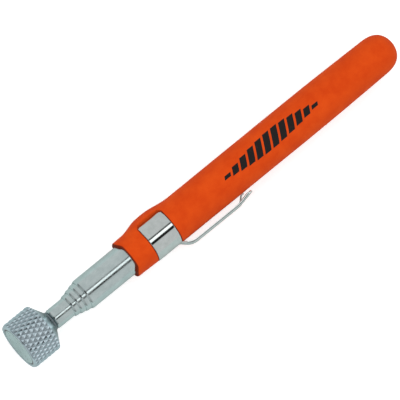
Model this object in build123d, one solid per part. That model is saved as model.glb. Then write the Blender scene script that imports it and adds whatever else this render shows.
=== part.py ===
from build123d import *
import os

# Telescopic magnetic pick-up tool, in millimetres, closed.
# The tool lies along X. The origin is the centre of the magnet's face, the magnet faces -X, the grip's
# closed end points to +X, and the pocket clip's arm runs along the -Y side. +Z is up.

# ---- driving dimensions ----
TOTAL_LENGTH = 215.0  # closed, from the magnet's face to the grip's round end

# Telescopic tube. Section 1 is the outermost; every list runs from section 1 to section 5.
SECTION_COUNT = 5
OUTER_RADIUS = 7.40  # of section 1
RADIUS_STEP = 0.66  # each section is this much smaller in radius than the one around it
TUBE_WALL = 0.42
SECTION_1_MOUTH = 36.35  # front end of section 1
MOUTH_STEP = 2.65  # each mouth stands this far in front of the next larger one's
SECTION_5_FRONT = 18.8
SECTION_1_REAR = 205.5
TRAVEL = 152.0  # how far each section slides out of the one around it
SWAGE_LENGTH = 1.1  # over which a mouth closes in
SWAGE_LIP = 0.42  # thickness of the closed-in lip along the axis
SWAGE_EDGE = 0.25  # flat left at the very front of a mouth
LIP_GAP = 0.05  # between a lip and the section that slides through it
FLARE_LENGTH = 1.0  # widened rear end that keeps the friction sleeve on its section
FLARE_RAMP = 0.6
FLARE_RISE = 0.16

# Split friction sleeves, one round the rear of each sliding section
SLEEVE_LENGTH = 10.0
SLEEVE_GAP = 0.04  # between a sleeve and the bore that it slides in
SLEEVE_SPLIT = 1.2
STOP_GAP = 0.3  # left between sleeve and lip at full travel

# Magnet head
HEAD_RADIUS = 11.7
HEAD_CYLINDER = 14.2  # length of the knurled cylinder
HEAD_BACK = 17.8  # where the conical back ends
HEAD_BACK_RADIUS = 5.2
HEAD_EDGE = 0.4  # rounding of the cup's front rim
POCKET_RADIUS = 9.6
CUP_SEAM = 20.0  # angle from +Y at which the cup's turned faces meet themselves
MAGNET_RADIUS = 9.0
MAGNET_THICKNESS = 7.0
YOKE_THICKNESS = 1.6

# Rivet that joins the head to section 5, and its plug
STUD_RADIUS = 2.4  # pressed into the head
STUD_FRONT = 12.0
COLLAR_RADIUS = 4.6  # fills the gap between the head's back and section 5's mouth
COLLAR_GAP = 0.15  # between the collar and section 5's mouth
SHOULDER_RADIUS = 3.0
JOURNAL_RADIUS = 1.95
JOURNAL_GAP = 0.05
END_PLAY = 0.1
LIP_RADIUS_5 = 3.5  # hole in section 5's closed-in front end
PLUG_LENGTH = 7.0
PLUG_SEAT_GAP = 0.05  # between the plug's cone and the closed-in front end
WASHER_RADIUS = 3.2
WASHER_THICKNESS = 0.5
RIVET_HEAD_RADIUS = 3.0
RIVET_HEAD_LENGTH = 1.2
RIVET_HEAD_CHAMFER = 0.5

# Grip sleeve
GRIP_FRONT = 61.5
GRIP_FRONT_RADIUS = 9.15
GRIP_LIP = 0.6  # rounding of its front edge
GRIP_RADIUS = 9.65
GRIP_BARREL_END = 165.0  # end of the plain cylinder, where the taper to the round end starts
GRIP_RING_RADIUS = 9.45  # at the window's front edge
TAPER_MIDDLE, TAPER_MIDDLE_RADIUS = 186.0, 9.40  # places along the round end's curve, and their radii
TAPER_END, TAPER_END_RADIUS = 203.4, 9.05
DOME_SHOULDER, DOME_SHOULDER_RADIUS = 210.0, 8.20
DOME_TURN, DOME_TURN_RADIUS = 212.4, 6.80
GRIP_SEAT = 207.0  # where the end plug stops inside it
WINDOW_FRONT = 72.5
WINDOW_REAR = 85.7
WINDOW_CORNER = 1.8
CUTTER_INNER, CUTTER_OUTER = 6.0, 14.0  # radii that reach past both sides of the sleeve's wall
STRIP_ANGLE = 74.0  # width of the strip that bridges the window, on the +Y side
STRIP_FRONT, STRIP_FRONT_RADIUS = 67.6, 9.30  # places along the strip's curve, and their radii
STRIP_RISE, STRIP_RISE_RADIUS = 72.6, 10.75
STRIP_PEAK, STRIP_PEAK_RADIUS = 76.8, 11.3
STRIP_FALL, STRIP_FALL_RADIUS = 82.2, 10.85
STRIP_RUNOUT, STRIP_RUNOUT_RADIUS = 87.1, 9.95
STRIP_REAR = 92.0
STRIP_ROOT_RADIUS = 8.0  # inside the sleeve's wall, where the strip grows out of it

# Pocket clip
SHEET = 0.9  # thickness of the clip's sheet
BAND_RADIUS = 9.6
BAND_GAP = 0.1  # between the band and the window's edges
BAND_SPLIT = 3.0  # open seam, under the strip
ARM_WIDTH = 4.8
ARM_ROOT = 83.1  # hinge line of the arm's bend
ARM_RADIUS = 13.0  # distance of the arm's middle from the tool's axis
ARM_STRAIGHT = 116.8  # where the straight part ends
ARM_TIP = 124.4
ARM_BENDS = (0.9, 6.5, 12.0)  # radii of the arm's bends, from the root on
ARM_SPREAD = 0.1  # the arm's straight part drifts out by this much
TIP_TURN_IN = 1.8  # and its tip turns in by this much
ROOT_GAP = 0.12
ROOT_LIFT = 0.05  # the arm's root stands this far off the bush
ROOT_RUN = 0.9  # flat start of the arm, level with the band
RISE_RUN = 4.3  # length along the axis over which the arm rises
TONGUE_SHEET = 0.6  # tongue cut out of the arm and bent in to press on the grip
TONGUE_WIDTH = 2.2
TONGUE_ROOT = 115.8
TONGUE_BEND = 116.9
TONGUE_HEEL = 120.2
TONGUE_TIP = 121.4
TONGUE_BEND_RADIUS = 0.8
TONGUE_CLEARANCE = 0.08  # over the grip
SLOT_FRONT, SLOT_REAR = 117.2, 121.9  # opening that the tongue leaves in the arm
SLOT_WIDTH = 2.6

# End plug
END_PLUG_LENGTH = 3.6
END_PLUG_HOLLOW = 4.6
END_PLUG_CHAMFER = 0.5

# ---- cutting ----
OVERRUN = 1.0  # cutters reach this far past what they cut
LENGTH_TOLERANCE = 0.01  # for telling the cutter's edges apart

# ---- worked-out dimensions ----
RADII = [OUTER_RADIUS - RADIUS_STEP * i for i in range(SECTION_COUNT)]
BORES = [radius - TUBE_WALL for radius in RADII]
MOUTHS = [SECTION_1_MOUTH - MOUTH_STEP * i for i in range(SECTION_COUNT - 1)] + [SECTION_5_FRONT]
BAND_INNER = BAND_RADIUS - SHEET
ROOT_RADIUS = BAND_INNER + SHEET / 2 + ROOT_LIFT
BAND_FRONT = WINDOW_FRONT + BAND_GAP
BAND_REAR = WINDOW_REAR - BAND_GAP
PLUG_FRONT = SECTION_5_FRONT + SWAGE_LIP + PLUG_SEAT_GAP


def save(solid, node):
    """Write one piece to its own file."""
    export_step(solid, f"parts/{node}.step")


def turned(*corners):
    """A solid turned about the tool's axis from the corners (x, r) of its half-section."""
    return revolve(make_face(Polyline(*corners, close=True)), Axis.X, 360)


def ring(front, rear, inner, outer):
    """A plain ring about the tool's axis."""
    return turned((front, inner), (rear, inner), (rear, outer), (front, outer))


def disc(front, rear, radius):
    """A plain disc or shaft on the tool's axis."""
    return ring(front, rear, 0, radius)


def slot_block(front, rear, width, side, reach):
    """A block for cutting a lengthwise slot; side is +1 for +Y and -1 for -Y."""
    block = Box(rear - front, reach, width)
    return Pos((front + rear) / 2, side * reach / 2, 0) * block


# ---- telescopic tube ----
def rear_end(index):
    """Rear end of a sliding section: its sleeve meets the lip around it at full travel."""
    sleeve_front = MOUTHS[index - 1] + SWAGE_LENGTH + TRAVEL + STOP_GAP
    return sleeve_front + SLEEVE_LENGTH + FLARE_RAMP + FLARE_LENGTH


def tube(index):
    """One section: a thin tube whose mouth is closed in and whose rear end may be flared."""
    radius, bore, mouth = RADII[index], BORES[index], MOUTHS[index]
    innermost = index == SECTION_COUNT - 1
    lip = LIP_RADIUS_5 if innermost else RADII[index + 1] + LIP_GAP
    edge = lip + SWAGE_EDGE
    swage = mouth + SWAGE_LENGTH
    if index == 0:
        rear = SECTION_1_REAR
        tail = Polyline((swage, radius), (rear, radius), (rear, bore), (swage, bore))
    else:
        rear = rear_end(index)
        flare = rear - FLARE_LENGTH
        ramp = flare - FLARE_RAMP
        tail = Polyline(
            (swage, radius),
            (ramp, radius),
            (flare, radius + FLARE_RISE),
            (rear, radius + FLARE_RISE),
            (rear, bore + FLARE_RISE),
            (flare, bore + FLARE_RISE),
            (ramp, bore),
            (swage, bore),
        )
    outside = TangentArc((swage, radius), (mouth, edge), tangent=(-1, 0))
    inside = Polyline((swage, bore), (mouth + SWAGE_LIP, lip), (mouth, lip), (mouth, edge))
    return revolve(make_face([outside, tail, inside]), Axis.X, 360)


def friction_sleeve(index):
    """Split spring sleeve round a sliding section, in front of its flare."""
    rear = rear_end(index) - FLARE_LENGTH - FLARE_RAMP
    front = rear - SLEEVE_LENGTH
    sleeve = ring(front, rear, RADII[index], BORES[index - 1] - SLEEVE_GAP)
    return sleeve - slot_block(front - OVERRUN, rear + OVERRUN, SLEEVE_SPLIT, 1, OUTER_RADIUS)


def end_plug():
    """Hollow moulded plug that closes the rear of section 1."""
    front = SECTION_1_REAR - END_PLUG_LENGTH
    plug = turned(
        (front, 0),
        (GRIP_SEAT, 0),
        (GRIP_SEAT, OUTER_RADIUS),
        (SECTION_1_REAR, OUTER_RADIUS),
        (SECTION_1_REAR, BORES[0]),
        (front + END_PLUG_CHAMFER, BORES[0]),
        (front, BORES[0] - END_PLUG_CHAMFER),
    )
    return plug - disc(front - OVERRUN, SECTION_1_REAR, END_PLUG_HOLLOW)


# ---- magnet head ----
def magnet_cup():
    """Steel cup: knurled cylinder with a conical back and a blind hole for the rivet."""
    rim = HEAD_RADIUS - HEAD_EDGE
    outside = Polyline(
        (HEAD_EDGE, HEAD_RADIUS),
        (HEAD_CYLINDER, HEAD_RADIUS),
        (HEAD_BACK, HEAD_BACK_RADIUS),
        (HEAD_BACK, STUD_RADIUS),
        (STUD_FRONT, STUD_RADIUS),
        (STUD_FRONT, 0),
        (MAGNET_THICKNESS + YOKE_THICKNESS, 0),
        (MAGNET_THICKNESS + YOKE_THICKNESS, POCKET_RADIUS),
        (0, POCKET_RADIUS),
        (0, rim),
    )
    front_edge = TangentArc((HEAD_EDGE, HEAD_RADIUS), (0, rim), tangent=(-1, 0))
    return Rot(X=CUP_SEAM) * revolve(make_face([outside, front_edge]), Axis.X, 360)


def head_rivet():
    """Shoulder rivet: pressed into the head, it turns in section 5's plug."""
    shoulder = PLUG_FRONT - END_PLAY
    neck = PLUG_FRONT + PLUG_LENGTH + WASHER_THICKNESS + END_PLAY
    return turned(
        (STUD_FRONT, 0),
        (neck + RIVET_HEAD_LENGTH, 0),
        (neck + RIVET_HEAD_LENGTH, RIVET_HEAD_RADIUS - RIVET_HEAD_CHAMFER),
        (neck + RIVET_HEAD_LENGTH - RIVET_HEAD_CHAMFER, RIVET_HEAD_RADIUS),
        (neck, RIVET_HEAD_RADIUS),
        (neck, JOURNAL_RADIUS),
        (shoulder, JOURNAL_RADIUS),
        (shoulder, SHOULDER_RADIUS),
        (SECTION_5_FRONT - COLLAR_GAP, SHOULDER_RADIUS),
        (SECTION_5_FRONT - COLLAR_GAP, COLLAR_RADIUS),
        (HEAD_BACK, COLLAR_RADIUS),
        (HEAD_BACK, STUD_RADIUS),
        (STUD_FRONT, STUD_RADIUS),
    )


def rivet_washer():
    """Thin washer between the plug and the rivet's head."""
    front = PLUG_FRONT + PLUG_LENGTH + END_PLAY / 2
    return ring(front, front + WASHER_THICKNESS, JOURNAL_RADIUS, WASHER_RADIUS)


def nose_plug():
    """Steel plug held in section 5's front end, with the rivet's bore."""
    rear = PLUG_FRONT + PLUG_LENGTH
    bore = JOURNAL_RADIUS + JOURNAL_GAP
    return turned(
        (PLUG_FRONT, bore),
        (rear, bore),
        (rear, BORES[-1]),
        (SECTION_5_FRONT + SWAGE_LENGTH + PLUG_SEAT_GAP, BORES[-1]),
        (PLUG_FRONT, LIP_RADIUS_5),
    )


# ---- grip and pocket clip ----
def grip_blank():
    """The grip's outer form, solid, without its window."""
    lip_start = GRIP_FRONT_RADIUS - GRIP_LIP
    front_edge = TangentArc(
        (GRIP_FRONT + GRIP_LIP, GRIP_FRONT_RADIUS), (GRIP_FRONT, lip_start), tangent=(-1, 0)
    )
    barrel = Polyline(
        (GRIP_FRONT + GRIP_LIP, GRIP_FRONT_RADIUS),
        (WINDOW_FRONT, GRIP_RING_RADIUS),
        (STRIP_REAR, GRIP_RADIUS),
        (GRIP_BARREL_END, GRIP_RADIUS),
    )
    round_end = Spline(
        (GRIP_BARREL_END, GRIP_RADIUS),
        (TAPER_MIDDLE, TAPER_MIDDLE_RADIUS),
        (TAPER_END, TAPER_END_RADIUS),
        (DOME_SHOULDER, DOME_SHOULDER_RADIUS),
        (DOME_TURN, DOME_TURN_RADIUS),
        (TOTAL_LENGTH, 0),
        tangents=[(1, 0), (0, -1)],
    )
    axis_line = Polyline((TOTAL_LENGTH, 0), (GRIP_FRONT, 0), (GRIP_FRONT, lip_start))
    return revolve(make_face([front_edge, barrel, round_end, axis_line]), Axis.X, 360)


def sector(profile, degrees_wide):
    """A face turned through part of a turn, centred on the +Y side."""
    return Rot(X=-degrees_wide / 2) * revolve(profile, Axis.X, degrees_wide)


def strip():
    """The strip of the grip that bulges over the clip's band."""
    outside = Spline(
        (STRIP_FRONT, STRIP_FRONT_RADIUS),
        (STRIP_RISE, STRIP_RISE_RADIUS),
        (STRIP_PEAK, STRIP_PEAK_RADIUS),
        (STRIP_FALL, STRIP_FALL_RADIUS),
        (STRIP_RUNOUT, STRIP_RUNOUT_RADIUS),
        (STRIP_REAR, GRIP_RADIUS),
    )
    inside = Polyline(
        (STRIP_REAR, GRIP_RADIUS),
        (STRIP_REAR, STRIP_ROOT_RADIUS),
        (STRIP_FRONT, STRIP_ROOT_RADIUS),
        (STRIP_FRONT, STRIP_FRONT_RADIUS),
    )
    return sector(make_face([outside, inside]), STRIP_ANGLE)


def window_cutter():
    """The window's opening: all of the ring between its edges but the strip."""
    half = make_face(
        Polyline(
            (WINDOW_FRONT, CUTTER_INNER),
            (WINDOW_REAR, CUTTER_INNER),
            (WINDOW_REAR, CUTTER_OUTER),
            (WINDOW_FRONT, CUTTER_OUTER),
            close=True,
        )
    )
    opening = 360 - STRIP_ANGLE
    cutter = Rot(X=180) * sector(half, opening)
    depth = CUTTER_OUTER - CUTTER_INNER
    lines = cutter.edges().filter_by(GeomType.LINE)
    corner_edges = lines.filter_by(lambda edge: abs(edge.length - depth) < LENGTH_TOLERANCE)
    return fillet(corner_edges, WINDOW_CORNER)


def grip_sleeve():
    """Soft sleeve over section 1, closed at its end, with the window for the clip."""
    sleeve = grip_blank() + strip() - window_cutter()
    sleeve -= disc(WINDOW_FRONT, WINDOW_REAR, BAND_RADIUS + BAND_GAP)
    return sleeve - disc(GRIP_FRONT - OVERRUN, GRIP_SEAT, OUTER_RADIUS)


def clip_bush():
    """Moulded bush that fills the space between section 1 and the clip's band."""
    return ring(BAND_FRONT, BAND_REAR, OUTER_RADIUS, BAND_INNER)


def clip_band():
    """Sheet band round the bush, with its seam under the strip and a notch for the arm's root."""
    band = ring(BAND_FRONT, BAND_REAR, BAND_INNER, BAND_RADIUS)
    rear = BAND_REAR + OVERRUN
    band -= slot_block(BAND_FRONT - OVERRUN, rear, BAND_SPLIT, 1, 2 * BAND_RADIUS)
    return band - slot_block(ARM_ROOT - ROOT_GAP, rear, ARM_WIDTH + 2 * ROOT_GAP, -1, 2 * BAND_RADIUS)


def arm_tongue():
    """Tongue that runs from inside the arm's sheet to the grip, where its tip lies flat."""
    root = ARM_RADIUS + ARM_SPREAD
    rest = GRIP_RADIUS + TONGUE_CLEARANCE + TONGUE_SHEET / 2
    middle = FilletPolyline(
        (TONGUE_ROOT, -root),
        (TONGUE_BEND, -root),
        (TONGUE_HEEL, -rest),
        (TONGUE_TIP, -rest),
        radius=TONGUE_BEND_RADIUS,
    )
    return extrude(trace(middle, TONGUE_SHEET), TONGUE_WIDTH / 2, both=True)


def clip_arm():
    """Sheet arm: it rises out of the band, runs beside the grip and turns in at its rounded tip."""
    middle = FilletPolyline(
        (ARM_ROOT, -ROOT_RADIUS),
        (ARM_ROOT + ROOT_RUN, -ROOT_RADIUS),
        (ARM_ROOT + ROOT_RUN + RISE_RUN, -ARM_RADIUS),
        (ARM_STRAIGHT, -ARM_RADIUS - ARM_SPREAD),
        (ARM_TIP, -ARM_RADIUS + TIP_TURN_IN),
        radius=ARM_BENDS,
    )
    plate = extrude(trace(middle, SHEET), ARM_WIDTH / 2, both=True)
    outline = Pos((ARM_ROOT + ARM_TIP) / 2, 0, 0) * Rot(X=90) * SlotOverall(
        ARM_TIP - ARM_ROOT + ARM_WIDTH, ARM_WIDTH
    )
    plate &= extrude(Pos(-ARM_WIDTH / 2, 0, 0) * outline, 2 * ARM_RADIUS, both=True)
    plate -= slot_block(SLOT_FRONT, SLOT_REAR, SLOT_WIDTH, -1, 2 * ARM_RADIUS)
    return plate + arm_tongue()


def main():
    os.makedirs("parts", exist_ok=True)
    for index in range(SECTION_COUNT):
        save(tube(index), f"section_{index + 1}")
    for index in range(1, SECTION_COUNT):
        save(friction_sleeve(index), f"friction_sleeve_{index + 1}")
    save(end_plug(), "end_plug")
    save(magnet_cup(), "magnet_cup")
    save(disc(0, MAGNET_THICKNESS, MAGNET_RADIUS), "magnet_disc")
    save(ring(0, MAGNET_THICKNESS, MAGNET_RADIUS, POCKET_RADIUS), "magnet_spacer")
    save(disc(MAGNET_THICKNESS, MAGNET_THICKNESS + YOKE_THICKNESS, POCKET_RADIUS), "yoke_plate")
    save(head_rivet(), "head_rivet")
    save(rivet_washer(), "rivet_washer")
    save(nose_plug(), "nose_plug")
    save(grip_sleeve(), "grip_sleeve")
    save(clip_bush(), "clip_bush")
    save(clip_band(), "clip_band")
    save(clip_arm(), "clip_arm")


main()
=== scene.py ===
import math

import bmesh
import bpy
from mathutils import Matrix, Vector, noise


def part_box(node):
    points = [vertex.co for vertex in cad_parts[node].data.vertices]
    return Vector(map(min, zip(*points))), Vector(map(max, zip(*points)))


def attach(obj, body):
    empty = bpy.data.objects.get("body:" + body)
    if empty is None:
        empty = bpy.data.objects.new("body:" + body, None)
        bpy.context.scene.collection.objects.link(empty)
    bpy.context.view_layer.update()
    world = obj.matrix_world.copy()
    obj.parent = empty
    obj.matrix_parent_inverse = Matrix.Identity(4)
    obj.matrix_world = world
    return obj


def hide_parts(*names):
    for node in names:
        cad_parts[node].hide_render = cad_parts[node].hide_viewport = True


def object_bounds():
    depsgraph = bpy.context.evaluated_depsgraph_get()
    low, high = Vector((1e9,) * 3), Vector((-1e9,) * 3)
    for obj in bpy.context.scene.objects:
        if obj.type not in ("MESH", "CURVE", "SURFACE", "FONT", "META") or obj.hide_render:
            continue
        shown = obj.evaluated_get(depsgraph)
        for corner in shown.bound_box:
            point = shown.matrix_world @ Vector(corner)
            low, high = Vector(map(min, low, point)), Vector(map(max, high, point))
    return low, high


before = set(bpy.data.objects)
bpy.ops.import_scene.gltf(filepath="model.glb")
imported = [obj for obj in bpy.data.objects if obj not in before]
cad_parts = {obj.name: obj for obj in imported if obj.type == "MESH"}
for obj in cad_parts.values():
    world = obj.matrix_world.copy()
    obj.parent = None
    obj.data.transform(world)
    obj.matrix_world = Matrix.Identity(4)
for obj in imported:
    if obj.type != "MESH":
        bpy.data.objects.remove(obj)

MM = 0.001
CAD_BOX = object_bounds()

# ---- places read from the frame ----
HEAD_LOW, HEAD_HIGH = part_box("magnet_cup")
MAGNET_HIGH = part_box("magnet_disc")[1]
SPACER_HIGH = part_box("magnet_spacer")[1]
BAND_LOW, BAND_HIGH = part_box("clip_band")
ARM_LOW, ARM_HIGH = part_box("clip_arm")
GRIP_LOW, GRIP_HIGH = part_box("grip_sleeve")
PLUG_LOW, PLUG_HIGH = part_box("nose_plug")
RIVET_LOW, RIVET_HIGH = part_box("head_rivet")
GRIP_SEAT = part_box("end_plug")[1].x  # where the grip's bore ends
TUBE_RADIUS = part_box("section_1")[1].z

# ---- the photograph's view ----
VIEW_TILT = math.radians(12.4)  # the camera leans towards the magnet
VIEW_ROLL = math.radians(39.2)  # the tool's axis climbs to the right
VIEW_WIDTH = 174.4 * MM  # across the picture, at the tool
VIEW_CENTRE = Vector((103.9 * MM, -0.2 * MM, 0))
VIEW_DISTANCE = 5.0  # a long lens: the far end is hardly smaller than the near one


# ======== mesh helpers ========
def linked(name, mesh, sharp_degrees=None):
    """A smooth-shaded object in the scene; edges that turn by more than sharp_degrees stay crisp."""
    mesh.shade_smooth()
    if sharp_degrees is not None:
        mesh.set_sharp_from_angle(angle=math.radians(sharp_degrees))
    made = bpy.data.objects.new(name, mesh)
    bpy.context.scene.collection.objects.link(made)
    return made


def mesh_object(name, verts, faces, sharp_degrees=None):
    """An object from vertices and faces, with all faces turned outwards."""
    mesh = bpy.data.meshes.new(name)
    mesh.from_pydata([tuple(v) for v in verts], [], faces)
    mesh.update()
    shell = bmesh.new()
    shell.from_mesh(mesh)
    bmesh.ops.recalc_face_normals(shell, faces=shell.faces)
    shell.to_mesh(mesh)
    shell.free()
    return linked(name, mesh, sharp_degrees)


def rounded(corners, closed, steps=4, support=0.05 * MM):
    """The outline through (x, r, fillet) corners, each fillet an arc with a close point on either side."""
    points = []
    count = len(corners)
    for i, (x, r, fillet) in enumerate(corners):
        corner = Vector((x, r))
        inside = closed or 0 < i < count - 1
        if not fillet or not inside:
            points.append((x, r))
            continue
        before = Vector(corners[i - 1][:2]) - corner
        after = Vector(corners[(i + 1) % count][:2]) - corner
        half = before.angle(after) / 2
        reach = min(fillet / math.tan(half), 0.45 * before.length, 0.45 * after.length)
        radius = reach * math.tan(half)
        u, v = before.normalized(), after.normalized()
        centre = corner + (u + v).normalized() * radius / math.sin(half)
        start, end = corner + u * reach - centre, corner + v * reach - centre
        swing = start.angle(end)
        if support and before.length > 2 * reach + support:
            points.append(tuple(corner + u * (reach + support)))
        for k in range(steps + 1):
            share = k / steps
            a = math.sin((1 - share) * swing) / math.sin(swing)
            b = math.sin(share * swing) / math.sin(swing)
            points.append(tuple(centre + start * a + end * b))
        if support and after.length > 2 * reach + support:
            points.append(tuple(corner + v * (reach + support)))
    return points


def lathe(name, outline, closed, segments=144):
    """Turns an outline of (x, r) points about the tool's axis; points on the axis become poles."""
    verts, rings, faces = [], [], []
    for x, r in outline:
        if r < 1e-7:
            rings.append([len(verts)] * segments)
            verts.append((x, 0, 0))
            continue
        rings.append([len(verts) + k for k in range(segments)])
        for k in range(segments):
            turn = math.tau * k / segments
            verts.append((x, r * math.sin(turn), r * math.cos(turn)))
    pairs = list(zip(rings, rings[1:])) + ([(rings[-1], rings[0])] if closed else [])
    for low, high in pairs:
        for k in range(segments):
            n = (k + 1) % segments
            face = list(dict.fromkeys((low[k], low[n], high[n], high[k])))
            if len(face) > 2:
                faces.append(face)
    return mesh_object(name, verts, faces)


def grid_faces(rows, closed_across):
    """Quads between neighbouring rows of vertex numbers."""
    faces = []
    for low, high in zip(rows, rows[1:]):
        width = len(low)
        for k in range(width if closed_across else width - 1):
            n = (k + 1) % width
            faces.append((low[k], low[n], high[n], high[k]))
    return faces


def smoothstep(value, low, high):
    t = min(max((value - low) / (high - low), 0.0), 1.0)
    return t * t * (3 - 2 * t)


# ======== node graphs ========
class Graph:
    """A node tree, with short calls for what the materials and the surroundings share."""

    def __init__(self, tree):
        self.tree = tree

    def add(self, kind, **settings):
        node = self.tree.nodes.new(kind)
        for key, value in settings.items():
            setattr(node, key, value)
        return node

    def link(self, source, target):
        self.tree.links.new(source, target)

    def axes(self, source):
        """The X, Y and Z outputs of a vector."""
        node = self.add("ShaderNodeSeparateXYZ")
        self.link(source, node.inputs["Vector"])
        return node.outputs

    def spread(self, source, low, high, to_low=0.0, to_high=1.0):
        """source from low..high mapped to to_low..to_high."""
        node = self.add("ShaderNodeMapRange")
        for key, value in zip(("From Min", "From Max", "To Min", "To Max"), (low, high, to_low, to_high)):
            node.inputs[key].default_value = value
        self.link(source, node.inputs["Value"])
        return node.outputs["Result"]

    def maths(self, operation, a, b=0.0):
        node = self.add("ShaderNodeMath", operation=operation)
        for socket, value in zip(node.inputs, (a, b)):
            if isinstance(value, (int, float)):
                socket.default_value = value
            else:
                self.link(value, socket)
        return node.outputs["Value"]

    def mixed(self, share, first, second):
        """A colour between two, by a varying share."""
        node = self.add("ShaderNodeMix", data_type="RGBA")
        self.link(share, node.inputs["Factor"])
        for socket, colour in ((node.inputs["A"], first), (node.inputs["B"], second)):
            if isinstance(colour, tuple):
                socket.default_value = (*colour, 1)
            else:
                self.link(colour, socket)
        return node.outputs["Result"]

    def varied(self, source, low, high, first, second):
        """A colour that goes from first to second while source goes from low to high."""
        return self.mixed(self.spread(source, low, high), first, second)


class Look(Graph):
    """A material's graph round its shader, in the object's own coordinates."""

    def __init__(self, name):
        self.material = bpy.data.materials.new(name)
        self.material.use_nodes = True
        super().__init__(self.material.node_tree)
        self.shader = self.tree.nodes["Principled BSDF"]
        self.place = self.add("ShaderNodeTexCoord").outputs["Object"]

    def set(self, **values):
        """Uniform values, straight on the shader's sockets."""
        for key, value in values.items():
            self.shader.inputs[key.replace("_", " ")].default_value = value

    def stretched(self, stretch):
        mapping = self.add("ShaderNodeMapping")
        mapping.inputs["Scale"].default_value = stretch
        self.link(self.place, mapping.inputs["Vector"])
        return mapping.outputs["Vector"]

    def noise(self, scale, detail=3.0, roughness=0.55, stretch=(1, 1, 1)):
        node = self.add("ShaderNodeTexNoise")
        node.inputs["Scale"].default_value = scale
        node.inputs["Detail"].default_value = detail
        node.inputs["Roughness"].default_value = roughness
        self.link(self.stretched(stretch), node.inputs["Vector"])
        return node.outputs["Fac"]

    def cells(self, scale):
        node = self.add("ShaderNodeTexVoronoi")
        node.inputs["Scale"].default_value = scale
        self.link(self.stretched((1, 1, 1)), node.inputs["Vector"])
        return node.outputs["Distance"]

    def painted(self, name):
        """A value that the mesh carries at its points."""
        return self.add("ShaderNodeAttribute", attribute_name=name).outputs["Fac"]

    def colour(self, source):
        self.link(source, self.shader.inputs["Base Color"])

    def roughness(self, source):
        self.link(source, self.shader.inputs["Roughness"])

    def bump(self, *layers):
        """Bump from (height, strength, depth in metres) layers, one on another."""
        normal = None
        for height, strength, depth in layers:
            node = self.add("ShaderNodeBump")
            node.inputs["Strength"].default_value = strength
            node.inputs["Distance"].default_value = depth
            self.link(height, node.inputs["Height"])
            if normal is not None:
                self.link(normal, node.inputs["Normal"])
            normal = node.outputs["Normal"]
        self.link(normal, self.shader.inputs["Normal"])


# ======== materials ========
def plated_tube():
    """Bright plated tube: lengthwise drawing lines, faint cloudiness and fine rubbed scratches."""
    n = Look("plated_tube")
    n.set(Metallic=1.0)
    cloud = n.noise(260, 4)
    drawn = n.noise(2600, 3, stretch=(0.02, 1, 1))
    scratches = n.noise(900, 2, stretch=(1, 0.12, 0.12))
    n.colour(n.varied(cloud, 0.35, 0.7, (0.61, 0.71, 0.71), (0.71, 0.81, 0.81)))
    rubbed = n.spread(scratches, 0.55, 0.75, 0.0, 0.08)
    n.roughness(n.maths("ADD", n.spread(cloud, 0.3, 0.7, 0.13, 0.21), rubbed))
    n.bump((drawn, 0.12, 0.01 * MM), (scratches, 0.05, 0.01 * MM))
    return n.material


def clip_chrome():
    """Polished chrome on sheet steel: a soft waviness, with handling haze."""
    n = Look("clip_chrome")
    n.set(Metallic=1.0)
    haze = n.noise(420, 4)
    waves = n.noise(120, 2)
    n.colour(n.varied(haze, 0.3, 0.7, (0.68, 0.735, 0.72), (0.79, 0.84, 0.83)))
    n.roughness(n.spread(haze, 0.35, 0.75, 0.05, 0.13))
    n.bump((waves, 0.10, 0.05 * MM), (n.noise(3000, 2), 0.03, 0.01 * MM))
    return n.material


def knurled_steel():
    """Plated knurling: bright crowns, duller grooves darkened by painted shade, and painted shade on the back
    towards the neck.
    """
    n = Look("knurled_steel")
    n.set(Metallic=1.0)
    crown = n.painted("crown")
    cloud = n.noise(500, 4)
    # painted shade: the grooves are darker than the crowns, more in some places than others
    groove_shade = n.maths("MULTIPLY", n.spread(crown, 0.0, 0.55, 1, 0), n.spread(cloud, 0.3, 0.6, 0.55, 1.0))
    steel = n.varied(cloud, 0.3, 0.7, (0.56, 0.68, 0.74), (0.70, 0.82, 0.89))
    groove_shaded_steel = n.mixed(groove_shade, steel, (0.36, 0.44, 0.48))
    # painted shade: the cone at the back of the head turns dark towards the neck
    neck_shade = n.spread(n.axes(n.place)["X"], HEAD_HIGH.x - 3.0 * MM, HEAD_HIGH.x - 1.4 * MM)
    n.colour(n.mixed(neck_shade, groove_shaded_steel, (0.20, 0.27, 0.29)))
    n.roughness(n.maths("ADD", n.spread(cloud, 0.3, 0.7, 0.12, 0.20), n.spread(crown, 0.0, 0.6, 0.14, 0.0)))
    n.bump((n.noise(4200, 3), 0.10, 0.02 * MM))
    return n.material


TURNING_PITCH = 0.22 * MM  # between the tool marks on the magnet's face


def magnet_plate():
    """Satin nickel on the magnet: turned rings, cloudiness and contact scuffs."""
    n = Look("magnet_plate")
    n.set(Metallic=1.0)
    cloud = n.noise(330, 4)
    squares = [n.maths("POWER", n.axes(n.place)[axis], 2.0) for axis in "YZ"]
    radial = n.maths("SQRT", n.maths("ADD", *squares))
    rings = n.maths("SINE", n.maths("MULTIPLY", radial, math.tau / TURNING_PITCH))
    scuffs = n.noise(700, 2, stretch=(1, 0.15, 1))
    n.colour(n.varied(cloud, 0.3, 0.7, (0.64, 0.79, 0.79), (0.74, 0.89, 0.89)))
    n.roughness(n.maths("ADD", n.spread(cloud, 0.3, 0.7, 0.24, 0.36), n.spread(scuffs, 0.58, 0.7, 0.0, 0.14)))
    n.bump((rings, 0.06, 0.01 * MM), (scuffs, 0.08, 0.01 * MM))
    return n.material


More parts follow.
